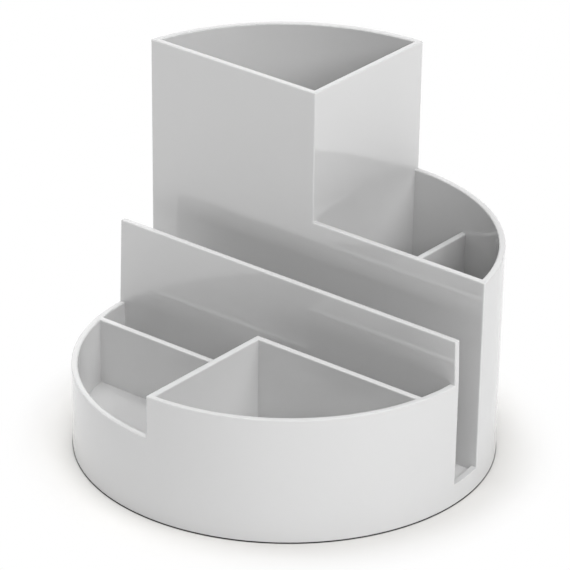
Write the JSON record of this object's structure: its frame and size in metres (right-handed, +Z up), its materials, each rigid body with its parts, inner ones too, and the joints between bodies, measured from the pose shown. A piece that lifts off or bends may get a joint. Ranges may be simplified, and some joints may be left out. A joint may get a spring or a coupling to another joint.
{
  "type": "round desk organiser",
  "caption": "Round moulded desk organiser whose rim climbs in steps from a low tray to a tall pen cup, with a narrow letter slot across the middle, on non-slip pads.",
  "frame": {"origin": "on the desk surface, on the axis of the round plan", "axes": "+Z up; X runs along the letter slot, +X to the right as seen from the front; -Y is the front, where the low trays are, and +Y the rear, where the pen cup is"},
  "size_m": [0.1417, 0.1425, 0.121],
  "materials": {
    "body": "pale grey-white polystyrene moulding, high gloss",
    "pads": "dark grey, matte, slightly soft"
  },
  "bodies": {
    "root": {"organiser_body": "body", "foot_front_right": "pads", "foot_rear_right": "pads", "foot_rear_left": "pads", "foot_front_left": "pads"}
  },
  "joints": []
}
